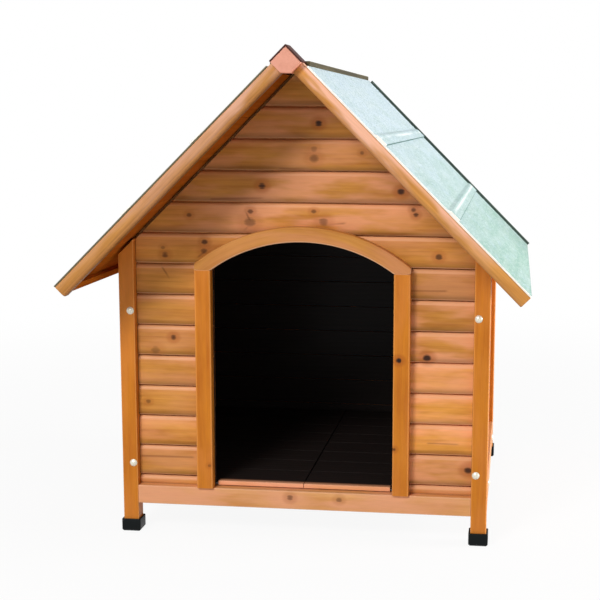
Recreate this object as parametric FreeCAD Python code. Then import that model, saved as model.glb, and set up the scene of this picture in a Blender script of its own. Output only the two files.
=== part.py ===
import FreeCAD
import Part
import math
import os

# A pitched-roof dog house in stained softwood, in millimetres.
# Frame: X to the right seen from the front, -Y towards the front, +Z up.
# The origin is on the ground, midway across the house and midway along the roof.

# Overall sizes
overall_depth = 760.0
roof_pitch = 45.0               # degrees

# Walls
body_width = 590.0
front_overhang = 122.0          # roof beyond the walls, at the front, the rear and each eave
rear_overhang = 66.0
eave_overhang = 59.0
post_size = 25.0
rail_height = 30.0
rail_underside = 47.5
top_rail_height = 30.0

# Wall boards: a rounded shoulder at the top, a tongue behind the next board's lip
board_thickness = 12.0
board_pitch = 49.6
first_board_cover = 14.0        # height of the lowest board's face over the bottom rail
rows_beside_arch = 7            # board lines from the lowest one to the one over the arch's foot
board_groove = 2.2
board_shoulder = 7.0
board_round = 6.4
board_lap = 5.0
board_lap_clearance = 0.5
lip_clearance = 0.3
smallest_top_board = 22.0

# Doorway
doorway_width = 290.0
spring_below_line = 6.7         # the arch leaves the stiles this far under a board line
eaves_above_spring = 28.0       # from there up to the top of the side walls
doorway_rise = 47.0
stile_width = 26.0
stile_proud = 5.0
header_width = 24.0
board_set_back = 1.0
arch_board_set_back = 12.0

# Feet
cap_wall = 2.6
cap_floor = 5.0
cap_height = 20.5
cap_clearance = 0.4
cap_chamfer = 2.5

# Roof panels, thicknesses square to the slope
deck_thickness = 11.0
deck_board_count = 5
deck_joint = 0.6
deck_end_gap = 2.0              # the deck stops short of the verges' low end
deck_top_gap = 40.0             # slope distance from the apex to the deck's upper end
verge_depth = 20.0
verge_thickness = 18.0
verge_round = 5.0
eave_batten_width = 20.0
eave_batten_depth = 6.0
purlin_width = 20.0
purlin_depth = 18.0
purlin_clearance = 3.0          # between the ridge beam and the purlins
wall_gap = 4.5                  # daylight between the gable boards and the deck
felt_thickness = 2.6
felt_cover = 150.6              # what shows of a course of felt below the uppermost
felt_course_count = 3
felt_lap = 18.0
felt_ramp = 6.0
drip_strip_width = 6.0
drip_strip_height = 5.0
drip_strip_gap = 4.0

# Ridge
block_proud = 12.0
block_half_width = 22.2
block_foot = 1.0                # how far the block reaches below the verges
block_length = 36.0
block_cover_thickness = 2.5
ridge_board_clearance = 0.6     # between its sides and the felt's upper corners
ridge_board_thickness = 7.5
beam_deck_clearance = 1.9       # between the deck's upper end and the beam's raised middle
beam_ledge = 6.0                # the beam's sloping edge under the deck
beam_depth = 40.0
cleat_depth = 20.0
cleat_thickness = 20.0

# Floor
floor_over_rail = 1.5           # daylight under the floor's front edge
floor_board_thickness = 7.0
floor_board_count = 8
floor_board_gap = 2.0
floor_edge_clearance = 2.0
floor_middle_gap = 2.0
bearer_width = 20.0
bearer_height = 20.0
middle_bearer_width = 30.0
floor_batten_width = 20.0
floor_batten_height = 12.0
floor_batten_inset = 25.0
floor_batten_end_gap = 20.0
doorway_tab_clearance = 5.0
doorway_tab_front = 14.0

# Fasteners
bolt_radius = 3.0
bolt_head_radius = 6.0
bolt_head_height = 3.4
bolt_hole_clearance = 0.3
bolt_from_outside = 18.0
low_bolt_above_rail = 37.3
high_bolt_below_spring = 67.5
stile_behind_bolt = 6.0         # wood left behind a bolt's tip
bearer_behind_bolt = 1.0
insert_radius = 4.5
insert_length = 14.0
side_bolt_from_end = 128.0      # from the front or rear of the walls
side_bolt_below_floor = 13.0
screw_radius = 2.0
screw_head_radius = 4.0
screw_head_height = 2.0
screw_length = 24.0
ridge_screw_count = 4
ridge_screw_inset = 60.0

# Places worked out from the sizes above
slope = math.radians(roof_pitch)
slope_cos = math.cos(slope)
slope_sin = math.sin(slope)
roof_length = overall_depth - block_proud
roof_front = -overall_depth / 2 + block_proud
roof_rear = roof_front + roof_length
wall_front = roof_front + front_overhang
wall_rear = roof_rear - rear_overhang
half_body = body_width / 2
inner_half = half_body - post_size
rail_top = rail_underside + rail_height
first_board_line = rail_top + first_board_cover
doorway_spring = first_board_line + rows_beside_arch * board_pitch - spring_below_line
plate_outer = doorway_spring + eaves_above_spring
ridge_height = plate_outer + deck_thickness / slope_cos + half_body * math.tan(slope)
eave_distance = (half_body + eave_overhang) / slope_cos
board_recess = post_size - board_thickness
board_face = wall_front + board_recess
board_back = board_face + board_thickness
rear_board_face = wall_rear - board_recess
rear_board_back = rear_board_face - board_thickness
side_board_face = half_body - board_recess
doorway_half = doorway_width / 2
arch_radius = (doorway_half ** 2 + doorway_rise ** 2) / (2 * doorway_rise)
arch_centre = doorway_spring + doorway_rise - arch_radius
deck_front = roof_front + verge_thickness
deck_rear = roof_rear - verge_thickness
frame_front = wall_front + post_size
frame_rear = wall_rear - post_size

os.makedirs("parts", exist_ok=True)


def point(x, y, z):
    return FreeCAD.Vector(x, y, z)


def box(x0, x1, y0, y1, z0, z1):
    return Part.makeBox(x1 - x0, y1 - y0, z1 - z0, point(x0, y0, z0))


def cylinder(base, direction, radius, length):
    return Part.makeCylinder(radius, length, base, direction)


def prism(corners, direction):
    """A solid carried along a straight direction from a flat outline."""
    outline = Part.makePolygon(corners + [corners[0]])
    return Part.Face(outline).extrude(direction)


def prism_along_y(outline, y0, y1):
    return prism([point(x, y0, z) for x, z in outline], point(0, y1 - y0, 0))


def mirrored(shape):
    return shape.mirror(point(0, 0, 0), point(1, 0, 0))


def on_side(shape, side):
    """Shapes are drawn for the right side, and mirrored for the left."""
    return shape if side > 0 else mirrored(shape)


def slope_point(distance, height):
    """A point of the right roof plane: distance down from the apex, height square to it."""
    x = distance * slope_cos + height * slope_sin
    z = ridge_height - distance * slope_sin + height * slope_cos
    return x, z


def slope_prism(corners, y0, y1):
    return prism_along_y([slope_point(distance, height) for distance, height in corners], y0, y1)


def slope_bar(near, far, low, high, y0, y1):
    return slope_prism([(near, low), (far, low), (far, high), (near, high)], y0, y1)


def slope_height(x, height):
    """Height above ground, at x, of the plane that lies this far square to the roof plane."""
    return ridge_height + height / slope_cos - x * math.tan(slope)


def save(name, *solids):
    shape = solids[0] if len(solids) == 1 else Part.makeCompound(list(solids))
    shape.exportStep("parts/" + name + ".step")


def board_section(bottom, top, has_lip, has_tongue):
    """Corners of a wall board as (depth behind its face, height), from its face's lower edge."""
    lip_depth = board_shoulder - lip_clearance
    corners = [(0, bottom)]
    if has_lip:
        corners += [(lip_depth, bottom), (lip_depth, bottom + board_lap), (board_thickness, bottom + board_lap)]
    else:
        corners += [(board_thickness, bottom)]
    if has_tongue:
        tongue_top = top + board_lap - board_lap_clearance
        corners += [(board_thickness, tongue_top), (board_shoulder, tongue_top)]
        corners += [(board_shoulder, top - board_groove)]
    else:
        corners += [(board_thickness, top - board_groove)]
    return corners


def wall_board(bottom, top, has_lip, has_tongue, place, direction):
    """A board whose section is placed by place(depth, height) and carried along direction."""
    shoulder = top - board_groove
    radius = min(board_round, (shoulder - bottom) / 2)
    bend = radius * (1 - math.sqrt(0.5))
    points = [place(depth, height) for depth, height in board_section(bottom, top, has_lip, has_tongue)]
    points.append(place(radius, shoulder))
    edges = [Part.LineSegment(start, end).toShape() for start, end in zip(points, points[1:])]
    face_end = place(0, shoulder - radius)
    edges.append(Part.Arc(points[-1], place(bend, shoulder - bend), face_end).toShape())
    edges.append(Part.LineSegment(face_end, points[0]).toShape())
    return Part.Face(Part.Wire(edges)).extrude(direction)


def row_heights(bottom, top):
    """Bottom and top of each board row between two heights, on the common board lines."""
    lines = [bottom]
    line = first_board_line + board_groove
    while line < top - smallest_top_board:
        if line > bottom + board_round:
            lines.append(line)
        line += board_pitch
    return list(zip(lines, lines[1:] + [top]))


def board_rows(bottom, top, place, direction):
    rows = row_heights(bottom, top)
    last = len(rows) - 1
    return [wall_board(low, high, index > 0, index < last, place, direction)
            for index, (low, high) in enumerate(rows)]


def post(y0, y1):
    top_height = -deck_thickness - wall_gap
    outline = [(inner_half, cap_floor), (half_body, cap_floor),
               (half_body, slope_height(half_body, top_height)),
               (inner_half, slope_height(inner_half, top_height))]
    return prism_along_y(outline, y0, y1)


def foot_cap(middle_y):
    half_outer = post_size / 2 + cap_clearance + cap_wall
    half_pocket = post_size / 2 + cap_clearance
    middle_x = half_body - post_size / 2
    cap = box(middle_x - half_outer, middle_x + half_outer, middle_y - half_outer, middle_y + half_outer,
              0, cap_height)
    low_edges = [edge for edge in cap.Edges if edge.BoundBox.ZMax < cap_chamfer]
    cap = cap.makeChamfer(cap_chamfer, low_edges)
    pocket = box(middle_x - half_pocket, middle_x + half_pocket, middle_y - half_pocket,
                 middle_y + half_pocket, cap_floor, cap_height + cap_clearance)
    return cap.cut(pocket)


def bolt(head_seat, direction, length):
    """Dome-headed bolt: its head stands against direction, its shank runs along it."""
    dome_radius = (bolt_head_radius ** 2 + bolt_head_height ** 2) / (2 * bolt_head_height)
    dome_centre = head_seat + direction * (dome_radius - bolt_head_height)
    dome = Part.makeSphere(dome_radius, dome_centre)
    keep = cylinder(head_seat - direction * bolt_head_height, direction, bolt_head_radius, bolt_head_height)
    return dome.common(keep).fuse(cylinder(head_seat, direction, bolt_radius, length)).removeSplitter()


def insert(head_seat, direction, length):
    start = head_seat + direction * (length - insert_length)
    sleeve = cylinder(start, direction, insert_radius, insert_length)
    return sleeve.cut(cylinder(start, direction, bolt_radius + bolt_hole_clearance, insert_length))


def bolt_bore(head_seat, direction, length):
    bore = cylinder(head_seat, direction, bolt_radius + bolt_hole_clearance, length + bolt_hole_clearance)
    start = head_seat + direction * (length - insert_length)
    return bore.fuse(cylinder(start, direction, insert_radius, insert_length))


# Bolts on the right side of the house; each is a seat for its head, a direction and a length.
floor_underside = rail_top + floor_over_rail
floor_top = floor_underside + floor_board_thickness
corner_bolt_length = 2 * post_size - stile_behind_bolt
side_bolt_length = post_size + bearer_width - bearer_behind_bolt
bolt_heights = (rail_top + low_bolt_above_rail, doorway_spring - high_bolt_below_spring)
side_bolt_height = floor_underside - side_bolt_below_floor
side_bolt_places = (wall_front + side_bolt_from_end, wall_rear - side_bolt_from_end)
bolt_x = half_body - bolt_from_outside
front_bolts = [(point(bolt_x, wall_front, z), point(0, 1, 0), corner_bolt_length) for z in bolt_heights]
rear_bolts = [(point(bolt_x, wall_rear, z), point(0, -1, 0), corner_bolt_length) for z in bolt_heights]
side_bolts = [(point(half_body, y, side_bolt_height), point(-1, 0, 0), side_bolt_length)
              for y in side_bolt_places]


def bored(shape, bolts):
    for seat, direction, length in bolts:
        shape = shape.cut(bolt_bore(seat, direction, length))
    return shape


# Corner posts, their feet, and the bottom rails that join them front and rear
for side, side_name in ((1, "right"), (-1, "left")):
    front_post = bored(post(wall_front, frame_front), front_bolts)
    rear_post = bored(post(frame_rear, wall_rear), rear_bolts)
    save("front_" + side_name + "_post", on_side(front_post, side))
    save("rear_" + side_name + "_post", on_side(rear_post, side))
    save("front_" + side_name + "_foot", on_side(foot_cap(wall_front + post_size / 2), side))
    save("rear_" + side_name + "_foot", on_side(foot_cap(wall_rear - post_size / 2), side))

save("front_bottom_rail", box(-inner_half, inner_half, wall_front, frame_front, rail_underside, rail_top))
save("rear_bottom_rail", box(-inner_half, inner_half, frame_rear, wall_rear, rail_underside, rail_top))

# Front and rear wall boards, cut to the gable's slope
ridge_board_underside = slope_point(deck_top_gap, felt_thickness)[1]
gable_top = ridge_board_underside - board_set_back
board_top_height = -deck_thickness - wall_gap
gable_top_half = (slope_height(0, board_top_height) - gable_top) / math.tan(slope)
shoulder_height = slope_height(inner_half, board_top_height)
gable_outline = [(-inner_half, rail_top), (inner_half, rail_top), (inner_half, shoulder_height),
                 (gable_top_half, gable_top), (-gable_top_half, gable_top), (-inner_half, shoulder_height)]
gable_region = prism_along_y(gable_outline, wall_front, wall_rear)
across = point(2 * inner_half, 0, 0)

arch_axis = point(0, wall_front - stile_proud, arch_centre)
board_arch = cylinder(arch_axis, point(0, 1, 0), arch_radius + arch_board_set_back, post_size + stile_proud)
above_spring = box(-inner_half, inner_half, wall_front - stile_proud, frame_front, doorway_spring, ridge_height)
board_cut_half = doorway_half + board_set_back
board_doorway = box(-board_cut_half, board_cut_half, wall_front, frame_front,
                    rail_top - board_set_back, doorway_spring)
board_opening = board_doorway.fuse(board_arch.common(above_spring))

front_boards = board_rows(rail_top, gable_top,
                          lambda depth, height: point(-inner_half, board_face + depth, height), across)
rear_boards = board_rows(rail_top, gable_top,
                         lambda depth, height: point(-inner_half, rear_board_face - depth, height), across)
front_pieces = [solid for board in front_boards
                for solid in board.common(gable_region).cut(board_opening).Solids]
save("front_left_boards", *[solid for solid in front_pieces if solid.BoundBox.XMax < 0])
save("front_right_boards", *[solid for solid in front_pieces if solid.BoundBox.XMin > 0])
save("front_gable_boards", *[solid for solid in front_pieces if solid.BoundBox.XMin < 0 < solid.BoundBox.XMax])
save("rear_boards", *[solid for board in rear_boards for solid in board.common(gable_region).Solids])

# Doorway: two stiles and one curved header, all standing proud of the wall
stile_front = wall_front - stile_proud
stile = box(doorway_half, doorway_half + stile_width, stile_front, board_face, rail_top, doorway_spring)
save("door_right_stile", stile)
save("door_left_stile", mirrored(stile))

header_outer = arch_radius + header_width
header_half = doorway_half + stile_width
header_depth = board_face - stile_front
header_ring = cylinder(arch_axis, point(0, 1, 0), header_outer, header_depth)
header_ring = header_ring.cut(cylinder(arch_axis, point(0, 1, 0), arch_radius, header_depth))
header_region = box(-header_half, header_half, stile_front, board_face, doorway_spring, ridge_height)
save("door_arch_header", header_ring.common(header_region))

# Side walls: a frame of two stiles and two rails around recessed boards
side_front = frame_front + post_size
side_rear = frame_rear - post_size
plate_inner = slope_height(inner_half, -deck_thickness)
top_rail_underside = plate_outer - top_rail_height


def side_stile(y0, y1):
    outline = [(inner_half, rail_underside), (half_body, rail_underside),
               (half_body, plate_outer), (inner_half, plate_inner)]
    return prism_along_y(outline, y0, y1)


side_bottom_rail = bored(box(inner_half, half_body, side_front, side_rear, rail_underside, rail_top),
                         side_bolts)
side_top_rail = prism_along_y([(inner_half, top_rail_underside), (half_body, top_rail_underside),
                               (half_body, plate_outer), (inner_half, plate_inner)], side_front, side_rear)
side_boards = board_rows(rail_top, top_rail_underside,
                         lambda depth, height: point(side_board_face - depth, side_front, height),
                         point(0, side_rear - side_front, 0))
side_bearer = bored(box(inner_half - bearer_width, inner_half, frame_front, frame_rear,
                        floor_underside - bearer_height, floor_underside), side_bolts)
for side, side_name in ((1, "right"), (-1, "left")):
    front_stile = on_side(bored(side_stile(frame_front, side_front), front_bolts), side)
    rear_stile = on_side(bored(side_stile(side_rear, frame_rear), rear_bolts), side)
    save(side_name + "_side_stiles", front_stile, rear_stile)
    save(side_name + "_side_bottom_rail", on_side(side_bottom_rail, side))
    save(side_name + "_side_top_rail", on_side(side_top_rail, side))
    save(side_name + "_side_boards", *[on_side(board, side) for board in side_boards])
    save(side_name + "_floor_bearer", on_side(side_bearer, side))
middle_half = middle_bearer_width / 2
save("middle_floor_bearer", box(-middle_half, middle_half, frame_front, frame_rear,
                                rail_underside, floor_underside))

# Floor: two loose panels of boards on battens, each with a tab that fills the doorway
floor_front = frame_front + floor_edge_clearance
floor_rear = frame_rear - floor_edge_clearance
floor_inner = floor_middle_gap / 2
floor_outer = inner_half - floor_edge_clearance
board_step = (floor_rear - floor_front + floor_board_gap) / floor_board_count


def floor_panel_boards():
    boards = []
    for index in range(floor_board_count):
        y0 = floor_front + index * board_step
        boards.append(box(floor_inner, floor_outer, y0, y0 + board_step - floor_board_gap,
                          floor_underside, floor_top))
    tab = box(floor_inner, doorway_half - doorway_tab_clearance, wall_front + doorway_tab_front, floor_front,
              floor_underside, floor_top)
    boards[0] = boards[0].fuse(tab).removeSplitter()
    return boards


def floor_panel_battens():
    near = middle_half + floor_batten_inset
    far = inner_half - bearer_width - floor_batten_inset
    y0 = floor_front + floor_batten_end_gap
    y1 = floor_rear - floor_batten_end_gap
    z0 = floor_underside - floor_batten_height
    return [box(near, near + floor_batten_width, y0, y1, z0, floor_underside),
            box(far - floor_batten_width, far, y0, y1, z0, floor_underside)]


for side, side_name in ((1, "right"), (-1, "left")):
    save(side_name + "_floor_boards", *[on_side(board, side) for board in floor_panel_boards()])
    save(side_name + "_floor_battens", *[on_side(batten, side) for batten in floor_panel_battens()])

# Ridge: beam between the gables, flat board over the gap, and the block at the front
block_front = -overall_depth / 2
block_rear = block_front + block_length
block_side = block_half_width / slope_cos
block_low = slope_point(block_side, -verge_depth - block_foot)
block_corner = slope_point(block_side, 0)
ridge_board_top = ridge_board_underside + ridge_board_thickness
ridge_board_half_width = slope_point(deck_top_gap, felt_thickness)[0] - ridge_board_clearance
beam_top_half_width = slope_point(deck_top_gap, -deck_thickness)[0] - beam_deck_clearance
beam_half_width = beam_top_half_width + beam_ledge
beam_outline = [(beam_top_half_width, ridge_board_underside),
                (beam_top_half_width, slope_height(beam_top_half_width, -deck_thickness)),
                (beam_half_width, slope_height(beam_half_width, -deck_thickness)),
                (beam_half_width, ridge_board_underside - beam_depth)]
beam_outline += [(-x, z) for x, z in reversed(beam_outline)]
ridge_beam = prism_along_y(beam_outline, frame_front, frame_rear)
ridge_board = box(-ridge_board_half_width, ridge_board_half_width, block_rear, roof_rear,
                  ridge_board_underside, ridge_board_top)

screw_step = (frame_rear - frame_front - 2 * ridge_screw_inset) / (ridge_screw_count - 1)
screw_seats = [point(0, frame_front + ridge_screw_inset + index * screw_step, ridge_board_top)
               for index in range(ridge_screw_count)]
down = point(0, 0, -1)


def ridge_screw(seat):
    head = cylinder(seat, point(0, 0, 1), screw_head_radius, screw_head_height)
    head = head.makeFillet(screw_head_height / 2, [edge for edge in head.Edges
                                                   if edge.BoundBox.ZMin > seat.z + screw_head_height / 2])
    return head.fuse(cylinder(seat, down, screw_radius, screw_length)).removeSplitter()


for seat in screw_seats:
    hole = cylinder(seat, down, screw_radius, screw_length)
    ridge_beam = ridge_beam.cut(hole)
    ridge_board = ridge_board.cut(hole)
save("ridge_beam", ridge_beam)
save("ridge_board", ridge_board)
save("ridge_board_screws", *[ridge_screw(seat) for seat in screw_seats])

block_outline = [(0, ridge_height), block_corner, block_low,
                 (-block_low[0], block_low[1]), (-block_corner[0], block_corner[1])]
save("ridge_block", prism_along_y(block_outline, block_front, block_rear))
cover_corner = slope_point(block_side, block_cover_thickness)
cover_outline = [(0, ridge_height), block_corner, cover_corner, (0, slope_height(0, block_cover_thickness)),
                 (-cover_corner[0], cover_corner[1]), (-block_corner[0], block_corner[1])]
save("ridge_block_cover", prism_along_y(cover_outline, block_front, block_rear))

# Roof panels
deck_end = eave_distance - deck_end_gap
deck_width = (deck_end - deck_top_gap + deck_joint) / deck_board_count


def front_verge():
    verge = slope_bar(block_side, eave_distance, -verge_depth, 0, roof_front, deck_front)
    low_x, low_z = slope_point((block_side + eave_distance) / 2, -verge_depth)
    low_front = point(low_x, roof_front, low_z)
    low_edge = min(verge.Edges, key=lambda edge: edge.distToShape(Part.Vertex(low_front))[0])
    return verge.makeFillet(verge_round, [low_edge])


def rear_verge():
    top_x = (ridge_height - ridge_board_underside) / math.tan(slope)
    outline = [(0, ridge_board_underside), (top_x, ridge_board_underside), slope_point(eave_distance, 0),
               slope_point(eave_distance, -verge_depth), (0, slope_height(0, -verge_depth))]
    return prism_along_y(outline, deck_rear, roof_rear)


def felt_course(start, end, is_lapped):
    """A strip of felt; its lower edge steps up over the next course's upper edge."""
    if not is_lapped:
        return slope_bar(start, end, 0, felt_thickness, roof_front, roof_rear)
    lap = end - felt_lap
    ramp = lap - felt_ramp
    outline = [(start, 0), (ramp, 0), (lap, felt_thickness), (end, felt_thickness), (end, 2 * felt_thickness),
               (lap, 2 * felt_thickness), (ramp, felt_thickness), (start, felt_thickness)]
    return slope_prism(outline, roof_front, roof_rear)


deck_boards = [slope_bar(deck_top_gap + index * deck_width, deck_top_gap + (index + 1) * deck_width - deck_joint,
                         -deck_thickness, 0, deck_front, deck_rear) for index in range(deck_board_count)]
eave_batten = slope_bar(deck_end - eave_batten_width, deck_end, -deck_thickness - eave_batten_depth,
                        -deck_thickness, deck_front, deck_rear)
purlin_low = -deck_thickness - purlin_depth
purlin_distance = (beam_half_width + purlin_clearance - purlin_low * slope_sin) / slope_cos
purlin = slope_bar(purlin_distance, purlin_distance + purlin_width, purlin_low,
                   -deck_thickness, frame_front + cleat_thickness, frame_rear - cleat_thickness)
felt_seams = [eave_distance - felt_cover * (felt_course_count - index)
              for index in range(1, felt_course_count)]
course_starts = [deck_top_gap] + [seam - felt_lap for seam in felt_seams]
course_ends = felt_seams + [eave_distance]
courses = [felt_course(start, end, index < len(felt_seams))
           for index, (start, end) in enumerate(zip(course_starts, course_ends))]
strip_start = ridge_board_half_width / slope_cos + drip_strip_gap
drip_strip = slope_bar(strip_start, eave_distance, felt_thickness, felt_thickness + drip_strip_height,
                       roof_rear - drip_strip_width, roof_rear)
for course in courses:
    drip_strip = drip_strip.cut(course)

for side, side_name in ((1, "right"), (-1, "left")):
    save(side_name + "_front_verge", on_side(front_verge(), side))
    save(side_name + "_rear_verge", on_side(rear_verge(), side))
    save(side_name + "_roof_deck", *[on_side(board, side) for board in deck_boards])
    save(side_name + "_eave_batten", on_side(eave_batten, side))
    save(side_name + "_purlin", on_side(purlin, side))
    for name, course in zip(("upper", "middle", "lower"), courses):
        save(side_name + "_" + name + "_felt", on_side(course, side))
save("rear_drip_strips", drip_strip, mirrored(drip_strip))

# Gable cleats carry the roof just inside each gable
cleat_outline = [(beam_half_width, slope_height(beam_half_width, -deck_thickness)),
                 (inner_half, plate_inner),
                 (inner_half, slope_height(inner_half, -deck_thickness - cleat_depth)),
                 (beam_half_width, slope_height(beam_half_width, -deck_thickness - cleat_depth))]
for end_name, y0 in (("front", frame_front), ("rear", frame_rear - cleat_thickness)):
    cleat = prism_along_y(cleat_outline, y0, y0 + cleat_thickness)
    save(end_name + "_gable_cleats", cleat, mirrored(cleat))

# Bolts through the posts into the side stiles, and through the side rails into the floor bearers
placed_bolts = front_bolts + rear_bolts + side_bolts
bolts = [bolt(seat, direction, length) for seat, direction, length in placed_bolts]
inserts = [insert(seat, direction, length) for seat, direction, length in placed_bolts]
save("dome_bolts", *(bolts + [mirrored(one) for one in bolts]))
save("threaded_inserts", *(inserts + [mirrored(one) for one in inserts]))
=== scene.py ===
import math

import bpy
import numpy as np
from mathutils import Matrix


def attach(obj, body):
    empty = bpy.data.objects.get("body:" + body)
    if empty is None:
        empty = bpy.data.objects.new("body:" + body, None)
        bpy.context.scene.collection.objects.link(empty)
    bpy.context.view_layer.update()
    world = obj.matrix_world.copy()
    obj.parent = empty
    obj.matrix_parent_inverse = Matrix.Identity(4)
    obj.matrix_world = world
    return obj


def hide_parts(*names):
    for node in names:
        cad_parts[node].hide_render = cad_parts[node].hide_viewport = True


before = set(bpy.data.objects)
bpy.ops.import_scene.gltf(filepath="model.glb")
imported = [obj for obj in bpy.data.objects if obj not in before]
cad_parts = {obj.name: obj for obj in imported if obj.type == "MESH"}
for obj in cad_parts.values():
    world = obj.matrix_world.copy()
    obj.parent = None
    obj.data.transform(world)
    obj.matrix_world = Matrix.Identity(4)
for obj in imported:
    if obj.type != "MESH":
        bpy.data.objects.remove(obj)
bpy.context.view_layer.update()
print("frame loaded,", len(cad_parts), "nodes")

# House in metres: X to the right, -Y to the front, Z up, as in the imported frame
house = {
    "ridge": 0.770556, "slope": math.radians(45), "roofFront": -0.368, "roofRear": 0.380,
    "wallFront": -0.246, "wallRear": 0.314, "half": 0.295, "post": 0.025, "eave": 0.500632,
    "railLow": 0.0475, "railTop": 0.0775, "spring": 0.432, "doorHalf": 0.145,
    "archRadius": 0.247165, "archCentre": 0.231835, "ridgeBoardLow": 0.744110,
}
slopeCos, slopeSin = math.cos(house["slope"]), math.sin(house["slope"])
post, wallFront, wallRear = house["post"], house["wallFront"], house["wallRear"]
inner = house["half"] - post
plateOuter = 0.460


class Wire:
    # One shader socket: sums and products add Math nodes, any other node comes from put()
    def __init__(self, tree, socket):
        self.tree = tree
        self.socket = socket

    def put(self, kind, settings=None, inputs=None, out=0):
        node = self.tree.nodes.new(kind)
        for name, value in (settings or {}).items():
            setattr(node, name, value)
        for name, value in (inputs or {}).items():
            if isinstance(value, Wire):
                self.tree.links.new(value.socket, node.inputs[name])
            else:
                node.inputs[name].default_value = value
        return Wire(self.tree, node.outputs[out]) if out is not None else None

    def same(self, out):
        return Wire(self.tree, self.socket.node.outputs[out])

    def math(self, operation, *values):
        return self.put("ShaderNodeMath", {"operation": operation}, dict(enumerate(values)))

    def __add__(self, other):
        return self.math("ADD", self, other)

    def __sub__(self, other):
        return self.math("SUBTRACT", self, other)

    def __rsub__(self, other):
        return self.math("SUBTRACT", other, self)

    def __mul__(self, other):
        return self.math("MULTIPLY", self, other)

    def __truediv__(self, other):
        return self.math("DIVIDE", self, other)

    def __pow__(self, other):
        return self.math("POWER", self, other)

    __radd__ = __add__
    __rmul__ = __mul__

    def clamp(self):
        return self.put("ShaderNodeClamp", {}, {0: self})

    def fract(self, scale=1.0):
        return self.math("FRACT", self * scale)

    def seen(self):
        # 1 for what the camera sees, straight, mirrored or through glass
        rays = self.put("ShaderNodeLightPath")
        return rays.most(rays.same("Is Glossy Ray")).most(rays.same("Is Transmission Ray"))

    def unsigned(self):
        return self.math("ABSOLUTE", self)

    def most(self, other):
        return self.math("MAXIMUM", self, other)

    def step(self, low, high):
        # 0 below low, 1 above high, and a smooth rise between
        return self.put("ShaderNodeMapRange", {"interpolation_type": "SMOOTHSTEP"},
                        {"Value": self, "From Min": low, "From Max": high})

    def split(self):
        first = self.put("ShaderNodeSeparateXYZ", {}, {0: self})
        return first, first.same(1), first.same(2)

    def join(self, x, y, z):
        return self.put("ShaderNodeCombineXYZ", {}, {0: x, 1: y, 2: z})

    def attribute(self, name, out=2):
        return self.put("ShaderNodeAttribute", {"attribute_name": name}, out=out)

    def place(self):
        # the point in the piece's own frame
        return self.put("ShaderNodeTexCoord", {}, {}, 3)

    def noise(self, at, scale=1.0, detail=2.0, rough=0.5):
        return self.put("ShaderNodeTexNoise", {}, {"Vector": at, "Scale": scale, "Detail": detail,
                                                   "Roughness": rough})

    def mix(self, factor, first, second):
        return self.put("ShaderNodeMix", {"data_type": "RGBA"}, {0: factor, 6: first, 7: second}, 2)

    def shade(self, colour, amount):
        # a colour made lighter or darker by a number that varies
        return self.put("ShaderNodeMix", {"data_type": "RGBA", "blend_type": "MULTIPLY"},
                        {0: 1.0, 6: colour, 7: self.join(amount, amount, amount)}, 2)

    def bump(self, height, strength, distance):
        return self.put("ShaderNodeBump", {}, {"Strength": strength, "Distance": distance, "Height": height})

    def finish(self, colour, roughness, normal=None, **fixed):
        inputs = {"Base Color": colour, "Roughness": roughness}
        if normal:
            inputs["Normal"] = normal
        inputs.update({name.replace("_", " "): value for name, value in fixed.items()})
        shader = self.put("ShaderNodeBsdfPrincipled", {}, inputs)
        self.put("ShaderNodeOutputMaterial", {}, {"Surface": shader}, None)


def startMaterial(name):
    material = bpy.data.materials.new(name)
    material.use_nodes = True
    material.node_tree.nodes.clear()
    return material, Wire(material.node_tree, None)


def tone(red, green, blue):
    # a colour as it is read off a screen, 0 to 255, turned linear
    part = np.array([red, green, blue]) / 255
    linear = np.where(part <= 0.04045, part / 12.92, ((part + 0.055) / 1.055) ** 2.4)
    return (*[float(value) for value in linear], 1.0)


# What each point of a piece carries for its finish and its painted light and shade, beside its place in the
# grain
pointLayers = ("board", "arris", "inside", "rise", "ruddy", "light")

woodLook = {"ringSpacing": 0.0086, "lateWood": 0.12, "fibre": 0.2, "blotch": 1.1, "broad": 0.7, "narrow": 0.4,
            "bump": 0.4, "bumpDepth": 0.0006, "insideShade": 0.99, "halo": 0.5, "shake": 0.5, "rubbed": 0.5,
            "knotTone": (30, 8, 2), "haloTone": (158, 74, 18), "shakeTone": (104, 50, 18),
            "insideTone": (12, 11, 13)}
# Knots that the front shows, as x, z, size and depth of colour, in metres on the wall boards
frontKnots = [
    (0.0246, 0.6619, 0.0048, 0.95), (0.0174, 0.6227, 0.0044, 0.35), (0.0174, 0.6079, 0.0062, 0.5),
    (0.0922, 0.6173, 0.0030, 0.5), (-0.0647, 0.5646, 0.0050, 0.9), (0.1531, 0.5582, 0.0050, 0.9),
    (-0.1820, 0.5175, 0.0036, 0.6), (-0.0835, 0.5245, 0.0038, 0.7), (-0.0847, 0.5080, 0.0074, 0.5),
    (0.0169, 0.5260, 0.0036, 0.6), (0.0325, 0.5099, 0.0062, 0.5), (0.1728, 0.5307, 0.0034, 0.7),
    (0.1767, 0.5231, 0.0036, 0.8), (0.2132, 0.4586, 0.0044, 0.75), (-0.1576, 0.4752, 0.0042, 0.8),
    (-0.1586, 0.4609, 0.0046, 0.6), (-0.2251, 0.4649, 0.0030, 0.4), (-0.2220, 0.4536, 0.0046, 0.7),
    (-0.2105, 0.3207, 0.0042, 0.8), (-0.2404, 0.2993, 0.0060, 0.4), (0.1968, 0.2988, 0.0054, 0.95),
    (0.2643, 0.1194, 0.0056, 0.9), (-0.2540, 0.2140, 0.0034, 0.5),
]
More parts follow.
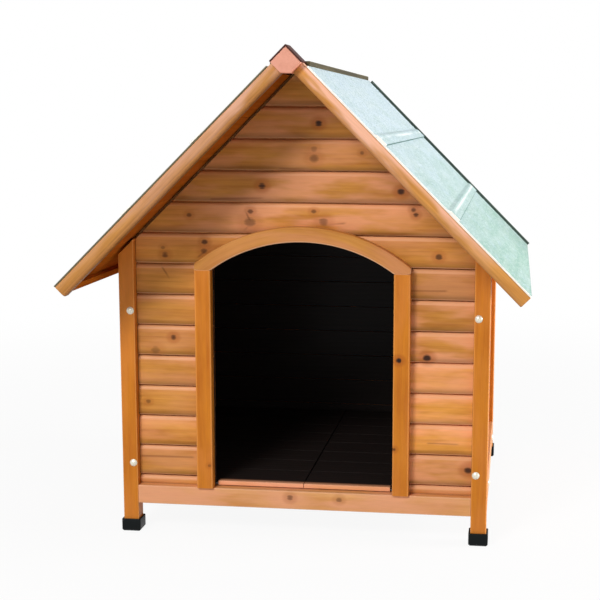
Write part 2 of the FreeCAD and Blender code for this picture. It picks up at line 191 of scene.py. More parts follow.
# Shakes in the front boards, as the x they run between, their height and their lean
frontShakes = [(-0.270, -0.172, 0.4118, 0.0), (-0.270, -0.176, 0.1236, 0.004), (0.196, 0.252, 0.1602, -0.01),
               (-0.232, -0.213, 0.4266, -1.5), (-0.096, -0.083, 0.4985, 0.7), (-0.172, -0.152, 0.4560, 0.8),
               (-0.094, -0.078, 0.5140, -1.9), (0.030, 0.070, 0.5060, 0.12), (-0.150, -0.060, 0.5450, 0.03),
               (0.150, 0.230, 0.4030, 0.02), (-0.040, 0.040, 0.5900, -0.02)]
railKnots = [(-0.0197, 0.0661, 0.0044, 0.6), (0.0598, 0.0667, 0.0042, 0.5)]
stileKnots = [(0.1538, 0.2968, 0.0042, 1.0), (0.1470, 0.1539, 0.0030, 0.8), (-0.150, 0.116, 0.0026, 0.5)]


def woodMaterial(name, pale, deep, pink, edge, axis=None, knots=(), shakes=(), roughness=0.5, knotty=1.0,
                 paintedShadeBelow=0.12, paintedShadeReach=0.12, coat=0.0, gloss=0.16, streaky=1.0):
    # Softwood: growth rings are the distance from a pith line beside the board, bent by slow noise.
    # Over them lie blotches of stain, short streaks and fibre, all drawn out along the grain.
    material, w = startMaterial(name)
    if axis is None:
        board, arris, inside, rise, ruddy, light = [w.attribute(label) for label in pointLayers]
        along, across, depth = w.attribute("grain", 1).split()
    else:
        x, y, depth = w.place().split()
        along, across = (x, y) if axis == "x" else (y, x)
        board = w.noise(w.join(across, depth, 0.0), scale=14.0, detail=0.0)
        none = board * 0.0
        arris, inside, rise, ruddy, light = none, none, none + 0.5, board, none + 1
    shift = board * 7.3
    bend = w.noise(w.join(along * 2.6 + shift, across * 11, depth * 11), detail=2)
    pithAcross = across + 0.012 + (board - 0.5) * 0.05 + (bend - 0.5) * 0.03
    pithDepth = depth + 0.034 + board.fract(13.7) * 0.03
    radius = (pithAcross * pithAcross + pithDepth * pithDepth) ** 0.5
    ring = (radius / woodLook["ringSpacing"] + bend * 2.6).fract()
    late = ring.step(0.1, 0.8) * (1 - ring.step(0.86, 1.0))
    blotch = w.noise(w.join(along * 9 + shift, across * 44, depth * 44), detail=3, rough=0.55)
    broad = w.noise(w.join(along * 3.2 + shift, across * 74, depth * 74), detail=3, rough=0.5)
    narrow = w.noise(w.join(along * 11 + shift, across * 260, depth * 260), detail=3, rough=0.6)
    fibre = w.noise(w.join(along * 40 + shift, across * 800, depth * 800), detail=3, rough=0.6)
    patch = w.noise(w.join(along * 7 - shift, across * 30, depth * 30), detail=3, rough=0.55)
    stain = (0.4 + (blotch - 0.5) * woodLook["blotch"] + (broad - 0.5) * woodLook["broad"]
             + (narrow - 0.5) * woodLook["narrow"] * streaky + late * blotch * woodLook["lateWood"] * 2)
    body = w.mix(stain.clamp(), tone(*pale), tone(*deep))
    # pink patches of stain, plus a painted highlight that makes the top of each board pinker
    pinkAndHighlight = patch.step(0.38, 0.62) * (0.1 + ruddy * 0.9) + rise.step(0.55, 1.0) * (0.2 + ruddy * 0.4)
    body = w.mix(pinkAndHighlight.clamp(), body, tone(*pink))
    # painted light: each piece's given brightness, a painted highlight towards each board's top, and painted
    # shade over its lower part
    value = light + (fibre - 0.5) * (woodLook["fibre"] * (0.3 + 0.7 * streaky)) + (rise - 0.5) * 0.10
    body = w.shade(body, value * (1 - (1 - rise.step(0.0, paintedShadeReach)) * paintedShadeBelow))
    # wear together with a painted highlight along the arrises and sawn ends
    body = w.mix(arris * woodLook["rubbed"], body, tone(*edge))
    # small scattered knots, longer along the grain
    cell = w.put("ShaderNodeTexVoronoi", {},
                 {"Vector": w.join(along * 5 + shift, across * 15, depth * 15), "Scale": 1.0})
    knot = (1 - cell.step(0.03, 0.075)) * cell.same(1).split()[0].step(0.8, 0.82) * knotty
    halo, shake = knot * 0.0, knot * 0.0
    if knots or shakes:
        hereX, _, hereZ = w.place().split()
    # the knots and shakes that the photograph shows, with ragged outlines
    for x, z, size, depthOfColour in knots:
        away = (((hereX - x) * 0.85) ** 2.0 + (hereZ - z) ** 2.0) / (size * size) + (narrow - 0.5) * 2.4
        knot = knot.most((1 - away.step(0.1, 1.5)) * depthOfColour)
        halo = halo.most((1 - away.step(0.8, 9.0)) * depthOfColour)
    for start, stop, z, lean in shakes:
        off = hereZ - z - (hereX - (start + stop) / 2) * lean + (bend - 0.5) * 0.008
        off = off.unsigned() / math.hypot(1, lean)
        span = hereX.step(start, start + 0.006) * (1 - hereX.step(stop - 0.008, stop))
        shake = shake.most((1 - off.step(0.0002, 0.0026)) * span * broad.step(0.3, 0.6))
    body = w.mix(halo * woodLook["halo"], body, tone(*woodLook["haloTone"]))
    body = w.mix(shake * woodLook["shake"], body, tone(*woodLook["shakeTone"]))
    body = w.mix(knot, body, tone(*woodLook["knotTone"]))
    # painted shade: the backs and sawn ends of boards, the floor and the sill's top are darkened to near
    # black
    body = w.mix(inside * woodLook["insideShade"], body, tone(*woodLook["insideTone"]))
    height = fibre * 0.5 + narrow * 0.5 + late * 0.3 - knot * 0.7 - shake * 0.5
    rough = roughness + (fibre - 0.5) * 0.16 + late * 0.06 + inside * 0.2
    w.finish(body, rough, w.bump(height, woodLook["bump"], woodLook["bumpDepth"]), Specular_IOR_Level=gloss,
             Coat_Weight=coat, Coat_Roughness=0.28)
    return material


boardWood = woodMaterial("stainedBoards", (222, 156, 70), (160, 92, 26), (226, 154, 106), (238, 176, 132),
                         knots=frontKnots, shakes=frontShakes, knotty=0.5, coat=0.1, paintedShadeBelow=0.42, paintedShadeReach=0.22)
frameWood = woodMaterial("stainedFrame", (216, 134, 30), (176, 92, 12), (212, 128, 52), (230, 156, 82),
                         roughness=0.46, knots=stileKnots, knotty=0.4, coat=0.15)
headerWood = woodMaterial("archHeader", (210, 148, 72), (164, 96, 36), (208, 140, 94), (240, 196, 158),
                          knotty=0.0)
railWood = woodMaterial("paleRail", (224, 166, 108), (190, 124, 64), (224, 158, 122), (238, 182, 142),
                        knotty=0.7, knots=railKnots)
vergeWood = woodMaterial("vergeBoards", (218, 156, 82), (172, 108, 44), (230, 174, 144), (204, 138, 76),
                         roughness=0.44, paintedShadeBelow=0.46, paintedShadeReach=0.46, knotty=0.5, streaky=2.6)
blockWood = woodMaterial("blockWood", (222, 152, 124), (178, 106, 84), (226, 156, 134), (230, 164, 140),
                         knotty=0.0, streaky=3.0)
# the deck boards are darker, as painted shade for the roof's underside
deckWood = woodMaterial("deckBoards", (184, 104, 28), (130, 62, 12), (172, 90, 34), (190, 114, 42),
                        roughness=0.7, gloss=0.0)
floorWood = woodMaterial("floorBoards", (226, 162, 114), (204, 132, 82), (228, 162, 126), (234, 176, 140))
hiddenWoodY, hiddenWoodX = [
    woodMaterial(name, (208, 148, 84), (176, 112, 56), (212, 154, 100), (220, 168, 118), axis=axis)
    for name, axis in (("hiddenAlongY", "y"), ("hiddenAlongX", "x"))]
print("wood finishes made")


def feltMaterial():
    # Mineral felt: a pale green-grey ground with scattered grit, and a whiter band over each seam as a
    # painted highlight
    material, w = startMaterial("mineralFelt")
    spot = w.attribute("grain", 1)
    cut, end, seam, paintedShadeLeft = [w.attribute(label) for label in ("inside", "arris", "rise", "ruddy")]
    along, down, up = spot.split()
    grit = w.noise(spot, scale=900.0, detail=2, rough=0.7)
    speck = w.put("ShaderNodeTexVoronoi", {}, {"Vector": spot, "Scale": 420.0}, 1).split()[0]
    cloud = w.noise(w.join(along * 9, down * 24, up), detail=4, rough=0.6)
    wash = w.noise(w.join(along * 3, down * 60, up), detail=3, rough=0.55)
    blue = w.noise(w.join(along * 30 + 4, down * 46, up), detail=3, rough=0.6)
    lap = seam.step(0.35, 0.5) * (1 - seam.step(0.5, 0.65))
    blend = down.step(0.08, 0.52) + (cloud - 0.5) * 1.3
    colour = w.mix(blend.clamp(), tone(196, 212, 220), tone(146, 180, 166))
    colour = w.mix(wash.step(0.4, 0.7) * 0.3, colour, tone(200, 212, 210))
    colour = w.mix(blue.step(0.54, 0.7) * 0.35, colour, tone(186, 206, 226))
    colour = w.mix(speck.step(0.66, 0.98) * 0.5, colour, tone(112, 148, 142))
    colour = w.mix((1 - speck.step(0.04, 0.3)) * 0.45, colour, tone(232, 240, 238))
    # painted highlight: a whiter band on the ramp above each seam
    colour = w.mix(lap * wash.step(0.34, 0.56) * 0.75, colour, tone(240, 244, 242))
    # painted shade: darker towards the rear lower corner
    rear = w.place().split()[1]
    colour = w.shade(colour, 1 - rear.step(0.0, 0.36) * down.step(0.34, 0.5) * 0.17)
    # a cut end is white, or darker on the left slope as painted shade, up to the thickness of one course
    paintedShadeLeft = paintedShadeLeft * (1 - up.step(0.0024, 0.0028))
    colour = w.mix(end, colour, w.mix(paintedShadeLeft, tone(255, 251, 242), tone(104, 96, 72)))
    colour = w.mix(cut * (1 - end) * 0.9, colour, tone(70, 104, 98))
    height = grit * 0.6 + speck * 0.5 + cloud * 0.3
    w.finish(colour, 0.86 + (grit - 0.5) * 0.1, w.bump(height, 0.5, 0.0006), Specular_IOR_Level=0.3)
    return material


def paintedMaterial(name, ground, worn, roughness):
    # Thin paint on wood: streaks of the grain show through and the arrises are rubbed
    material, w = startMaterial(name)
    arris = w.attribute("arris")
    along, across, depth = w.attribute("grain", 1).split()
    streak = w.noise(w.join(along * 4, across * 160, depth * 160), detail=4, rough=0.6)
    patch = w.noise(w.join(along * 12, across * 40, depth * 40), detail=3)
    colour = w.mix(streak.step(0.35, 0.7) * 0.5 + arris * 0.25, tone(*ground), tone(*worn))
    colour = w.shade(colour, 0.86 + patch * 0.28)
    w.finish(colour, roughness + (streak - 0.5) * 0.2, w.bump(streak + patch * 0.5, 0.3, 0.0004),
             Specular_IOR_Level=0.12)
    return material


def plasticMaterial(name, colour, sheen):
    # Moulded plastic with a fine spark-eroded texture, scuffed paler near the ground
    material, w = startMaterial(name)
    place = w.place()
    x, y, height = place.split()
    fine = w.noise(place, scale=1400.0, detail=2)
    scuff = w.noise(w.join(x * 90, y * 90, height * 500), detail=3)
    worn = scuff.step(0.55, 0.8) * (1 - height.step(0.001, 0.012))
    body = w.mix(worn * 0.4, tone(*colour), tone(*sheen))
    w.finish(body, 0.42 + worn * 0.3 + (fine - 0.5) * 0.12, w.bump(fine, 0.2, 0.0002),
             Specular_IOR_Level=0.15)
    return material


def metalMaterial(name, colour, roughness, metallic):
    # Turned metal: a fine grain in the bump, with small dull spots
    material, w = startMaterial(name)
    place = w.place()
    fine = w.noise(place, scale=2600.0, detail=2)
    spots = w.noise(place, scale=420.0, detail=3)
    body = w.mix(spots.step(0.5, 0.75) * 0.45, tone(*colour), tone(*[value * 0.82 for value in colour]))
    w.finish(body, roughness + (spots - 0.5) * 0.2 + (fine - 0.5) * 0.1, w.bump(fine, 0.12, 0.0001),
             Metallic=metallic)
    return material


felt = feltMaterial()
ridgePaint = paintedMaterial("ridgeBoardPaint", (62, 56, 40), (112, 102, 74), 0.7)
coverPaint = paintedMaterial("blockCoverPaint", (62, 30, 26), (88, 54, 44), 0.6)
stripPaint = paintedMaterial("dripStripPaint", (54, 66, 60), (96, 108, 98), 0.5)
capPlastic = plasticMaterial("capPlastic", (5, 11, 12), (30, 42, 38))
boltZinc = metalMaterial("boltZinc", (232, 228, 210), 0.34, 0.35)
screwZinc = metalMaterial("screwZinc", (206, 206, 200), 0.36, 0.85)
insertBrass = metalMaterial("insertBrass", (196, 170, 104), 0.4, 0.9)
print("other finishes made")


def softLoop(corners, radii, turns=4, spacing=0.012):
    # A closed outline with rounded corners. At each corner the round is an arc between the two points
    # that lie radius / tan(half the corner's angle) from it. Straight runs get evenly spaced points.
    corners = np.asarray(corners, float)
    radii = np.broadcast_to(np.asarray(radii, float), (len(corners),))
    back = np.roll(corners, 1, axis=0) - corners
    ahead = np.roll(corners, -1, axis=0) - corners
    back /= np.linalg.norm(back, axis=1)[:, None]
    ahead /= np.linalg.norm(ahead, axis=1)[:, None]
    half = np.arccos(np.clip((back * ahead).sum(1), -1, 1)) / 2
    run = (radii / np.tan(half))[:, None]
    first, last = corners + back * run, corners + ahead * run
    middle = (back + ahead) / np.linalg.norm(back + ahead, axis=1)[:, None]
    centre = corners + middle * (radii / np.sin(half))[:, None]
    sweep = (math.pi - 2 * half)[:, None, None]
    part = np.linspace(0, 1, turns + 1)[None, :, None]
    arcs = centre[:, None] + (np.sin((1 - part) * sweep) * (first - centre)[:, None]
                              + np.sin(part * sweep) * (last - centre)[:, None]) / np.sin(sweep)
    points, rounds = [], []
    hold = 0.00015  # a row of points this close to each round keeps its shading off the flat
    for index in range(len(corners)):
        start, stop = last[index], first[(index + 1) % len(corners)]
        length = np.linalg.norm(stop - start)
        count = max(1, int(length / spacing))
        steps = np.r_[hold, np.linspace(0, length, count + 1)[1:-1], length - hold] / length
        points += [arcs[index], start + (stop - start) * steps[:, None]]
        rounds += [np.ones(turns + 1), np.zeros(len(steps))]
    return np.concatenate(points), np.concatenate(rounds)


def softBox(u0, u1, v0, v1, radii, **spread):
    return softLoop([(u0, v0), (u1, v0), (u1, v1), (u0, v1)], radii, **spread)


def outwards(loop):
    # Unit normals of a closed outline, from the chord between each point's neighbours
    chord = np.roll(loop, -1, axis=0) - np.roll(loop, 1, axis=0)
    normal = np.c_[chord[:, 1], -chord[:, 0]]
    normal /= np.linalg.norm(normal, axis=1)[:, None] + 1e-12
    x, y = loop.T
    area = (x * np.roll(y, -1) - np.roll(x, -1) * y).sum()
    return normal * np.sign(area)


def gridQuads(rows, count):
    # faces between rings of count points each
    row = np.arange(rows - 1)[:, None] * count
    column = np.arange(count)[None]
    beside = (column + 1) % count
    corners = [row + column, row + beside, row + count + beside, row + count + column]
    return np.stack(corners, -1).reshape(-1, 4)


def endCaps(rows, count):
    return [np.arange(count)[::-1], (rows - 1) * count + np.arange(count)]


def rings(xyz):
    # a solid without a grain of its own, from its rings of points
    rows, count = xyz.shape[:2]
    points = xyz.reshape(-1, 3)
    return {"xyz": points, "quads": gridQuads(rows, count), "caps": endCaps(rows, count), "grain": points}


def carry(loop, start, stop, place, soften=0.0008, spacing=0.03, number=0.5, stretch=1.0, inside=None,
          sway=0.0, edge=None, rise=None, ruddy=0.5, light=1.0, paintedShadeEnds=0.0):
    # The outline carried from start to stop, which may differ from point to point where an end is cut
    # aslant. Near each end it draws in by soften on a quarter circle, which rounds the arris.
    points, rounds = loop
    count = len(points)
    start = np.broadcast_to(np.asarray(start, float), (count,))
    stop = np.broadcast_to(np.asarray(stop, float), (count,))
    turn = np.array([0.0, 0.5, 1.0]) * math.pi / 2
    near = soften / stretch * np.r_[1 - np.cos(turn), 1.25]
    draw = soften * np.r_[1 - np.sin(turn), 0.0]
    length = float(np.mean(stop - start))
    between = np.linspace(0, 1, max(2, int(length * stretch / spacing)) + 1)[1:-1]
    rows = len(between) + 2 * len(near)
    share = np.r_[np.zeros(len(near)), between, np.ones(len(near))][:, None]
    push = np.r_[near, np.zeros(len(between)), -near[::-1]][:, None]
    pull = np.r_[draw, np.zeros(len(between)), draw[::-1]][:, None]
    along = start + (stop - start) * share + push
    section = points[None] - outwards(points)[None] * pull[:, :, None]
    u, v = section[..., 0], section[..., 1]
    if sway:
        phase = number * 40
        u = u + sway * np.sin(along * stretch * 21 + phase)
        v = v + sway * np.sin(along * stretch * 17 + phase * 1.7)
    xyz = np.stack(place(along, u, v), axis=-1).reshape(-1, 3)
    grain = np.stack([along * stretch + number * 3.1, u, v], -1).reshape(-1, 3)
    redness = np.interp(share, np.linspace(0, 1, np.size(ruddy)), np.atleast_1d(ruddy))
    ends = np.r_[np.ones(3), np.zeros(rows - 6), np.ones(3)][:, None]
    rounds = rounds if edge is None else rounds * edge(points)

    def spread(values):
        return np.broadcast_to(values, (rows, count))

    # painted shade: the faces that the inside layer marks, and the sawn ends where asked, are darkened in the
    # finish
    return {
        "xyz": xyz, "quads": gridQuads(rows, count), "caps": endCaps(rows, count), "grain": grain,
        "arris": np.maximum(spread(rounds), ends).reshape(-1),
        "inside": np.maximum(spread(0 if inside is None else inside(points)), ends * paintedShadeEnds).reshape(-1),
        "rise": spread(0.5 if rise is None else rise(points)).reshape(-1),
        "board": np.full(rows * count, number), "ruddy": spread(redness).reshape(-1),
        "light": np.full(rows * count, light),
    }


def facesOut(solid):
    # The sum of the faces' signed volumes says which way they turn
    a, b, c, d = [solid["xyz"][solid["quads"][:, index]] for index in range(4)]
    volume = (np.cross(b - a, c - a) * a).sum() + (np.cross(c - a, d - a) * a).sum()
    for cap in solid["caps"]:
        p = solid["xyz"][cap]
        volume += (np.cross(p[1:-1] - p[0], p[2:] - p[0]) * p[0]).sum()
    if volume < 0:
        solid["quads"] = solid["quads"][:, ::-1]
        solid["caps"] = [cap[::-1] for cap in solid["caps"]]
    return solid


def linked(name, data):
    made = bpy.data.objects.new(name, data)
    bpy.context.scene.collection.objects.link(made)
    return made


def piece(node, solids, material, body="house", name=None):
    # One object from one or more solids, named after its node if no name is given
    first, *others = node.split("_")
    name = name or first + "".join(word.title() for word in others)
    solids = [facesOut(solid) for solid in solids]

    def gathered(key):
        return np.concatenate([solid[key] for solid in solids]).astype(np.float32).reshape(-1)

    offsets = np.cumsum([0] + [len(solid["xyz"]) for solid in solids])
    quads = np.concatenate([solid["quads"] + offset for solid, offset in zip(solids, offsets)])
    caps = [cap + offset for solid, offset in zip(solids, offsets) for cap in solid["caps"]]
    corners = np.concatenate([quads.reshape(-1)] + caps)
    sizes = np.r_[np.full(len(quads), 4), [len(cap) for cap in caps]].astype(int)
    mesh = bpy.data.meshes.new(name)
    mesh.vertices.add(int(offsets[-1]))
    mesh.vertices.foreach_set("co", gathered("xyz"))
    mesh.loops.add(len(corners))
    mesh.loops.foreach_set("vertex_index", corners.astype(np.int32))
    mesh.polygons.add(len(sizes))
    mesh.polygons.foreach_set("loop_start", np.r_[0, np.cumsum(sizes)[:-1]].astype(np.int32))
    mesh.polygons.foreach_set("use_smooth", np.r_[np.ones(len(quads), bool), np.zeros(len(caps), bool)])
    mesh.update(calc_edges=True)
    grain = mesh.attributes.new("grain", "FLOAT_VECTOR", "POINT")
    grain.data.foreach_set("vector", gathered("grain"))
    for label in pointLayers:
        if all(label in solid for solid in solids):
            layer = mesh.attributes.new(label, "FLOAT", "POINT")
            layer.data.foreach_set("value", gathered(label))
    mesh.validate()
    mesh.materials.append(material)
    made = linked(name, mesh)
    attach(made, body)
    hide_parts(node)


def wooden(node, loop, start, stop, place, soften, seed, material, slot, name=None, **finish):
    # a piece that is one carried outline; its seed picks its stretch of grain
    solid = carry(loop, start, stop, place, soften, number=numbered(seed), **finish)
    piece(node, [solid], material, name=name)


def alongX(a, u, v):
    return a, u, v


def alongY(a, u, v):
    return u, a, v


def alongZ(a, u, v):
    return u, v, a


def onRoof(distance, height):
    # X and Z at a slope distance from the apex and a height square to the slope
    return distance * slopeCos + height * slopeSin, house["ridge"] - distance * slopeSin + height * slopeCos


def downSlope(side):
    # a is the slope distance from the apex, u the depth along Y, v the height square to the slope
    def place(a, u, v):
        x, z = onRoof(a, v)
        return side * x, u, z
    return place


def onSlope(side):
    # a runs along Y, u is the slope distance from the apex, v the height square to the slope
    def place(a, u, v):
        x, z = onRoof(u, v)
        return side * x, a, z
    return place


def slopeHeight(x, height):
    return house["ridge"] + height / slopeCos - np.abs(x)


def numbered(seed):
    # a fixed spread of numbers between 0 and 1, one for each board
    return (seed * 0.6180339887 + 0.137) % 1.0


sides = ((1, "right"), (-1, "left"))
cutSoften, closeSpacing = 0.0005, 0.004  # for sawn ends, and for outlines with short sides

boards = {"thick": 0.012, "pitch": 0.0496, "firstLine": 0.0915, "groove": 0.0022, "shoulder": 0.007,
          "round": 0.0064, "lap": 0.005, "lipGap": 0.0003, "lapGap": 0.0005, "smallest": 0.022,
          "gableFrom": 0.49, "archFrom": 0.4412, "arris": 0.0005, "sway": 0.00012, "crown": 0.0011,
          "ruddyLeft": (0.6, 0.45, 0.45, 0.2, 0.4, 0.35, 0.2, 0.1, 0.1),
          "ruddyRight": (0.7, 0.95, 0.7, 0.75, 0.75, 1.5, 1.0, 0.5, 0.25),
          "ruddyGable": ((0.0, 1.7, 0.2), (0.5, 1.2, 1.0), (0.5, 0.7, 0.5), (0.5, 0.7, 0.6), 0.5),
          # per-board brightness: each board's own tone, with painted light that makes the right boards
          # lighter and the gable boards darker
          "lightLeft": (1.05, 0.98, 1.16, 1.04, 1.0, 0.94, 0.98, 1.0, 1.18),
          "lightRight": (1.1, 1.0, 1.3, 1.28, 1.2, 1.02, 0.92, 0.82, 1.0),
          "lightGable": (1.0, 0.85, 0.92, 0.92, 0.94)}


def rowHeights(bottom, top):
    lines = [bottom]
    line = boards["firstLine"] + boards["groove"]
    while line < top - boards["smallest"]:
        if line > bottom + boards["round"]:
            lines.append(line)
        line += boards["pitch"]
    return list(zip(lines, lines[1:] + [top]))


def boardLoop(low, high, hasLip, hasTongue):
    # Section of a wall board as depth behind its face and height: a lip below, a big round and a tongue above
    lip = boards["shoulder"] - boards["lipGap"]
    shoulder = high - boards["groove"]
    big = min(boards["round"], (shoulder - low) / 2)
    small = boards["arris"]
    corners, radii = [(0, low)], [0.001]
    if hasLip:
        corners += [(lip, low), (lip, low + boards["lap"]), (boards["thick"], low + boards["lap"])]
        radii += [small, small, small]
    else:
        corners.append((boards["thick"], low))
        radii.append(small)
    if hasTongue:
        tongue = high + boards["lap"] - boards["lapGap"]
        corners += [(boards["thick"], tongue), (boards["shoulder"], tongue), (boards["shoulder"], shoulder)]
        radii += [small, small, 0.0002]
    else:
        corners.append((boards["thick"], shoulder))
        radii.append(small)
    corners.append((0, shoulder))
    radii.append(big)
    points, rounds = softLoop(corners, radii, turns=6, spacing=closeSpacing)
    # the face swells a little, most of all towards its upper edge
    share = np.clip((points[:, 1] - low) / (high - low), 0, 1)
    bow = boards["crown"] * np.where(share > 0.4, ((share - 0.4) / 0.6) ** 2,
                                     0.35 * ((0.4 - share) / 0.4) ** 2)
    points[:, 0] += bow * np.clip(1 - points[:, 0] / 0.004, 0, 1)
    return points, rounds


# the back face of a board, darkened as painted shade inside the house
def boardBack(points):
    return (points[:, 0] > boards["thick"] - 0.0004).astype(float)


def boardEdge(points):
    # only the arrises on the face get wear and a painted highlight, most of all the big round
    return (points[:, 0] < 0.0066).astype(float)


# the gable boards' arrises get a weaker painted highlight, as the gable lies in the roof's shade
def gableEdge(points):
    return boardEdge(points) * 0.35


def gableEnd(points):
    # how far out a front or rear board reaches at each height, under the roof
    limit = house["ridge"] - (0.011 + 0.0045) / slopeCos - points[:, 1]
    return np.minimum(inner, limit)


def doorEnd(points):
    # where a board ends beside the doorway: straight up to the arch's foot, then on a circle
    radius = house["archRadius"] + 0.012
    rise = points[:, 1] - house["archCentre"]
    arch = np.sqrt(np.maximum(radius ** 2 - rise ** 2, 0.0001))
    return np.where(points[:, 1] < house["spring"], house["doorHalf"] + 0.001, arch)


def boardRise(low, high):
    return lambda points: np.clip((points[:, 1] - low) / (high - low), 0, 1)


def facing(face, sign):
    # a board across the house, its face at this Y
    return lambda a, u, v: (a, face + sign * u, v)


def sideways(side):
    return lambda a, u, v: (side * (house["half"] - 0.013 - u), a, v)


frontFace = wallFront + 0.013
rearFace = wallRear - 0.013
gableTop = house["ridgeBoardLow"] - 0.001
rows = rowHeights(house["railTop"], gableTop)
beside = {1: [], -1: []}
overDoor = []
rearRows = []
for index, (low, high) in enumerate(rows):
    loop = boardLoop(low, high, index > 0, index < len(rows) - 1)
    reach = gableEnd(loop[0])
    # the boards' backs and sawn ends are darkened as painted shade
    common = {"place": facing(frontFace, 1), "inside": boardBack, "edge": boardEdge, "sway": boards["sway"],
              "soften": cutSoften, "rise": boardRise(low, high), "paintedShadeEnds": 0.9}
    if low < boards["gableFrom"]:
        # cut in two by the doorway or its arch
        right, left = (beside[1], beside[-1]) if high < boards["archFrom"] else (overDoor, overDoor)
        right.append(carry(loop, doorEnd(loop[0]), reach, number=numbered(index),
                           ruddy=boards["ruddyRight"][index], light=boards["lightRight"][index], **common))
        left.append(carry(loop, -reach, -doorEnd(loop[0]), number=numbered(index + 31),
                          ruddy=boards["ruddyLeft"][index], light=boards["lightLeft"][index], **common))
    else:
        common["edge"] = gableEdge
        overDoor.append(carry(loop, -reach, reach, number=numbered(index + 7),
                              ruddy=boards["ruddyGable"][index - 9], light=boards["lightGable"][index - 9],
                              **common))
    common["place"] = facing(rearFace, -1)
    rearRows.append(carry(loop, -reach, reach, number=numbered(index + 53), **common))
piece("front_right_boards", beside[1], boardWood, name="frontBoardsRight")
piece("front_left_boards", beside[-1], boardWood, name="frontBoardsLeft")
piece("front_gable_boards", overDoor, boardWood, name="gableBoards")
piece("rear_boards", rearRows, boardWood)

sideFront, sideRear = wallFront + 2 * post, wallRear - 2 * post
topRailLow = plateOuter - 0.030
sideRows = rowHeights(house["railTop"], topRailLow)
for side, label in sides:
    solids = []
    for index, (low, high) in enumerate(sideRows):
        loop = boardLoop(low, high, index > 0, index < len(sideRows) - 1)
        solids.append(carry(loop, sideFront, sideRear, sideways(side), cutSoften,
                            number=numbered(index + 80 + side * 9), inside=boardBack, edge=boardEdge,
                            sway=boards["sway"], rise=boardRise(low, high)))
    piece(label + "_side_boards", solids, boardWood)
print("wall boards made")

framing = {"round": 0.0016, "soften": 0.0009, "capFloor": 0.005, "postTop": -0.0155, "stileTop": -0.011}
wallEnds = (("front", wallFront), ("rear", wallRear - post))
for side, label in sides:
    wall = (side * inner, side * house["half"])
    for end, y0 in wallEnds:
        loop = softBox(*wall, y0, y0 + post, framing["round"])
        wooden(end + "_" + label + "_post", loop, framing["capFloor"],
               slopeHeight(loop[0][:, 0], framing["postTop"]), alongZ, framing["soften"],
               side * 3 + y0 * 50 + 9, frameWood, "frame_wood")
    stiles = []
    for y0 in (sideFront - post, sideRear):
        loop = softBox(*wall, y0, y0 + post, framing["round"])
        stiles.append(carry(loop, house["railLow"], slopeHeight(loop[0][:, 0], framing["stileTop"]), alongZ,
                            framing["soften"], number=numbered(side * 5 + y0 * 40 + 17)))
    piece(label + "_side_stiles", stiles, frameWood)
    loop = softBox(*wall, house["railLow"], house["railTop"], framing["round"])
    wooden(label + "_side_bottom_rail", loop, sideFront, sideRear, alongY, framing["soften"], 21 + side,
           railWood, "frame_wood")
    corners = [(wall[0], topRailLow), (wall[1], topRailLow), (wall[1], plateOuter),
               (wall[0], plateOuter + post)]
    wooden(label + "_side_top_rail", softLoop(corners, framing["round"]), sideFront, sideRear, alongY,
           framing["soften"], 25 + side, railWood, "frame_wood")
for end, y0 in wallEnds:
    loop = softBox(y0, y0 + post, house["railLow"], house["railTop"], framing["round"])
    wooden(end + "_bottom_rail", loop, -inner, inner, alongX, framing["soften"], 33 + y0, railWood,
           "frame_wood", ruddy=0.7, light=1.1)

doorway = {"stile": 0.026, "proud": 0.005, "header": 0.024, "round": 0.0022, "soften": 0.0007}
stileFront = wallFront - doorway["proud"]
stileOuter = house["doorHalf"] + doorway["stile"]
for side, label in sides:
    loop = softBox(side * house["doorHalf"], side * stileOuter, stileFront, frontFace, doorway["round"])
    wooden("door_" + label + "_stile", loop, house["railTop"], house["spring"], alongZ, doorway["soften"],
           41 + side, frameWood, "frame_wood")
loop = softBox(house["archRadius"], house["archRadius"] + doorway["header"], stileFront, frontFace,
               doorway["round"], spacing=closeSpacing)
radius = loop[0][:, 0]
archFoot = house["spring"] - house["archCentre"]
reach = np.minimum(np.arccos(np.minimum(archFoot / radius, 1)), np.arcsin(np.minimum(stileOuter / radius, 1)))


def roundArch(a, u, v):
    # a is the angle from straight up, u the radius, v the depth along Y
    return u * np.sin(a), v, house["archCentre"] + u * np.cos(a)


def innerArris(points):
    # the header's arris round the opening is the one that catches the light
    return (points[:, 0] < house["archRadius"] + doorway["round"]).astype(float)


wooden("door_arch_header", loop, -reach, reach, roundArch, doorway["soften"], 44, headerWood, "frame_wood",
       spacing=0.008, stretch=house["archRadius"], edge=innerArris, ruddy=(0.1, 0.5, 0.6, 0.7))
print("frame made")

roof = {"deck": 0.011, "topGap": 0.040, "endGap": 0.002, "joint": 0.0006, "boards": 5, "vergeDepth": 0.020,
        "vergeThick": 0.018, "vergeRound": 0.005, "battenWidth": 0.020, "battenDepth": 0.006,
        "blockSide": 0.0222 / slopeCos}
deckFront, deckRear = house["roofFront"] + roof["vergeThick"], house["roofRear"] - roof["vergeThick"]
deckEnd = house["eave"] - roof["endGap"]
deckWidth = (deckEnd - roof["topGap"] + roof["joint"]) / roof["boards"]
# how pink each front verge is, from the ridge down
vergeRuddy = {1: (2.4, 1.0, 1.4, -1.2), -1: (1.6, 0.45, 0.3, 0.0)}


# 1 at the verge's top and 0 at its lower edge; the lower part gets painted shade through this
def vergeRise(points):
    return 1 + points[:, 1] / roof["vergeDepth"]


